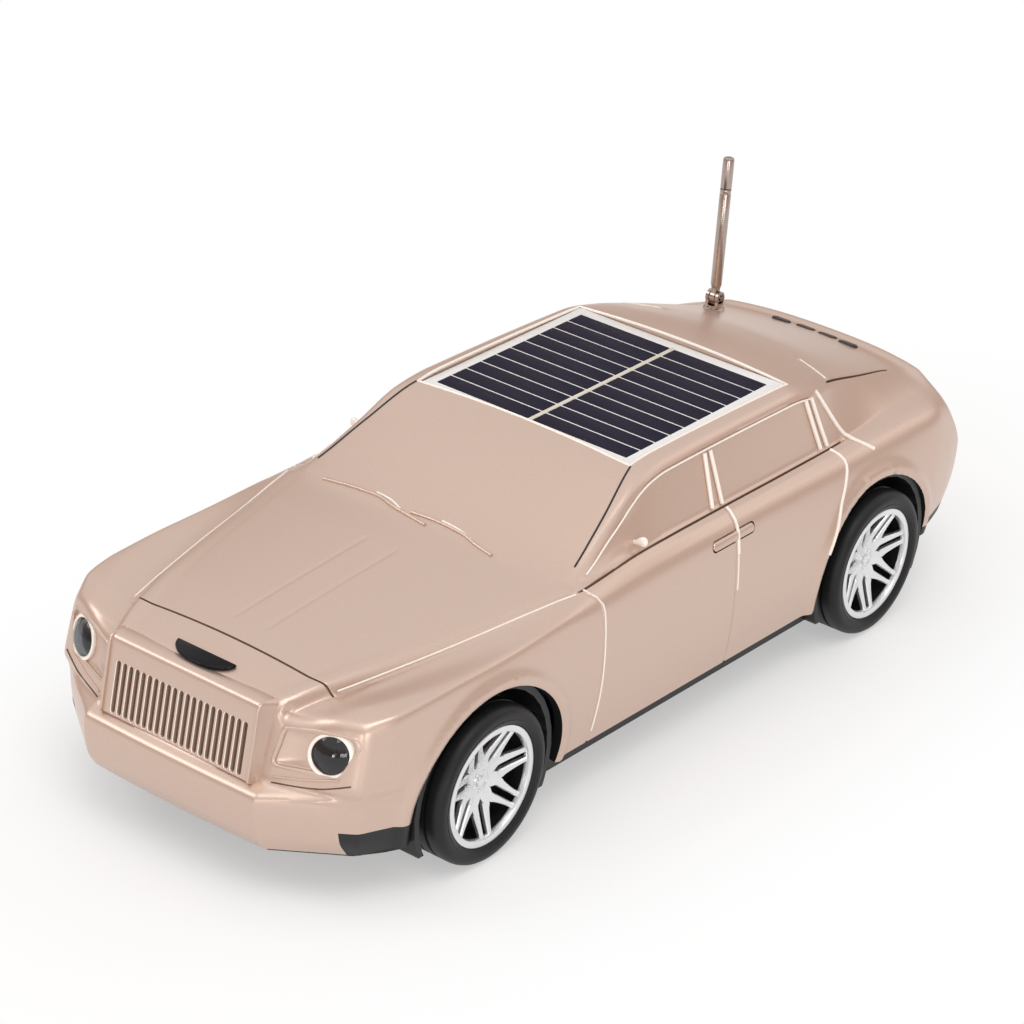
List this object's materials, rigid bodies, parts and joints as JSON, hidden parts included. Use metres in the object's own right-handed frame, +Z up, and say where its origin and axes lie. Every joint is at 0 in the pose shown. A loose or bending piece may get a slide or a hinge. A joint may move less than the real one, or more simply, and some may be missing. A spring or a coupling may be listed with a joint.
{
  "type": "solar car speaker",
  "caption": "Car-shaped portable radio speaker with a roof solar panel, telescopic tilting aerial, rolling wheels, press buttons and lamps.",
  "frame": {"origin": "centre of the car's length and width, on the ground", "axes": "+Z up; the bonnet points along -Y; the car's left side is +X"},
  "size_m": [0.09, 0.2233, 0.0873],
  "materials": {
    "body_paint": "satin metallic paint on ABS",
    "black_plastic": "fine-grained",
    "gloss_black": "polished",
    "tyre_rubber": "matt",
    "plated_rim": "plated",
    "steel": "bright",
    "brass": "turned",
    "white_board": "satin",
    "solar_cell": "polished silicon",
    "clear_resin": "clear",
    "lamp_lens": "clear",
    "led": "clear epoxy",
    "green_board": "solder mask",
    "battery_sleeve": "shrink film",
    "speaker_paper": "pressed paper",
    "ferrite": "black oxide",
    "foam": "closed-cell foam",
    "button_rubber": "satin"
  },
  "bodies": {
    "car": {"aerial_base": "steel", "aerial_nut": "brass", "aerial_pin": "steel", "badge_plate": "gloss_black", "battery_cell": "battery_sleeve", "battery_holder": "black_plastic", "body_shell": "body_paint", "bush_front_left": "brass", "bush_front_right": "brass", "bush_rear_left": "brass", "bush_rear_right": "brass", "button_board": "green_board", "charge_socket": "steel", "chassis_tray": "black_plastic", "chin_left": "black_plastic", "chin_right": "black_plastic", "grille_insert": "body_paint", "headlamp_led_left": "led", "headlamp_led_right": "led", "headlamp_lens_left": "lamp_lens", "headlamp_lens_right": "lamp_lens", "headlamp_reflector_left": "plated_rim", "headlamp_reflector_right": "plated_rim", "main_board": "green_board", "power_switch": "steel", "screw_front_left": "steel", "screw_front_right": "steel", "screw_rear_left": "steel", "screw_rear_right": "steel", "solar_board": "white_board", "solar_cells": "solar_cell", "solar_cover": "clear_resin", "speaker_basket": "ferrite", "speaker_cone": "speaker_paper", "speaker_gasket": "foam", "speaker_magnet": "ferrite", "tact_switch_1": "black_plastic", "tact_switch_2": "black_plastic", "tact_switch_3": "black_plastic", "tact_switch_4": "black_plastic"},
    "front_wheels": {"front_axle": "steel", "rim_front_left": "plated_rim", "rim_front_right": "plated_rim", "tyre_front_left": "tyre_rubber", "tyre_front_right": "tyre_rubber"},
    "rear_wheels": {"rear_axle": "steel", "rim_rear_left": "plated_rim", "rim_rear_right": "plated_rim", "tyre_rear_left": "tyre_rubber", "tyre_rear_right": "tyre_rubber"},
    "aerial_outer": {"aerial_tube": "steel"},
    "aerial_second": {"aerial_middle": "steel"},
    "aerial_tip": {"aerial_inner": "steel", "aerial_cap": "steel"},
    "power_knob": {"power_slider": "black_plastic"},
    "button_1_cap": {"button_1": "button_rubber"},
    "button_2_cap": {"button_2": "button_rubber"},
    "button_3_cap": {"button_3": "button_rubber"},
    "button_4_cap": {"button_4": "button_rubber"}
  },
  "joints": [
    {"name": "front_axle_spin", "type": "hinge", "parent": "car", "child": "front_wheels", "pos_m": [0, -0.0672, 0.01669], "axis": [1, 0, 0], "continuous": true},
    {"name": "rear_axle_spin", "type": "hinge", "parent": "car", "child": "rear_wheels", "pos_m": [0, 0.0672, 0.01669], "axis": [1, 0, 0], "continuous": true},
    {"name": "aerial_tilt", "type": "hinge", "parent": "car", "child": "aerial_outer", "pos_m": [-0.0198, 0.0897, 0.0534], "axis": [1, 0, 0], "range_deg": [-90, 60]},
    {"name": "aerial_pull_lower", "type": "slide", "parent": "aerial_outer", "child": "aerial_second", "axis": [0, 0, 1], "range_m": [0, 0.019]},
    {"name": "aerial_pull_upper", "type": "slide", "parent": "aerial_second", "child": "aerial_tip", "axis": [0, 0, 1], "range_m": [0, 0.019]},
    {"name": "power_slide", "type": "slide", "parent": "car", "child": "power_knob", "axis": [1, 0, 0], "range_m": [0, 0.002]},
    {"name": "button_1_press", "type": "slide", "parent": "car", "child": "button_1_cap", "axis": [0, -0.3007, -0.9537], "range_m": [0, 0.0008], "stiffness_N_per_m": 250},
    {"name": "button_2_press", "type": "slide", "parent": "car", "child": "button_2_cap", "axis": [0, -0.3007, -0.9537], "range_m": [0, 0.0008], "stiffness_N_per_m": 250},
    {"name": "button_3_press", "type": "slide", "parent": "car", "child": "button_3_cap", "axis": [0, -0.3007, -0.9537], "range_m": [0, 0.0008], "stiffness_N_per_m": 250},
    {"name": "button_4_press", "type": "slide", "parent": "car", "child": "button_4_cap", "axis": [0, -0.3007, -0.9537], "range_m": [0, 0.0008], "stiffness_N_per_m": 250}
  ]
}
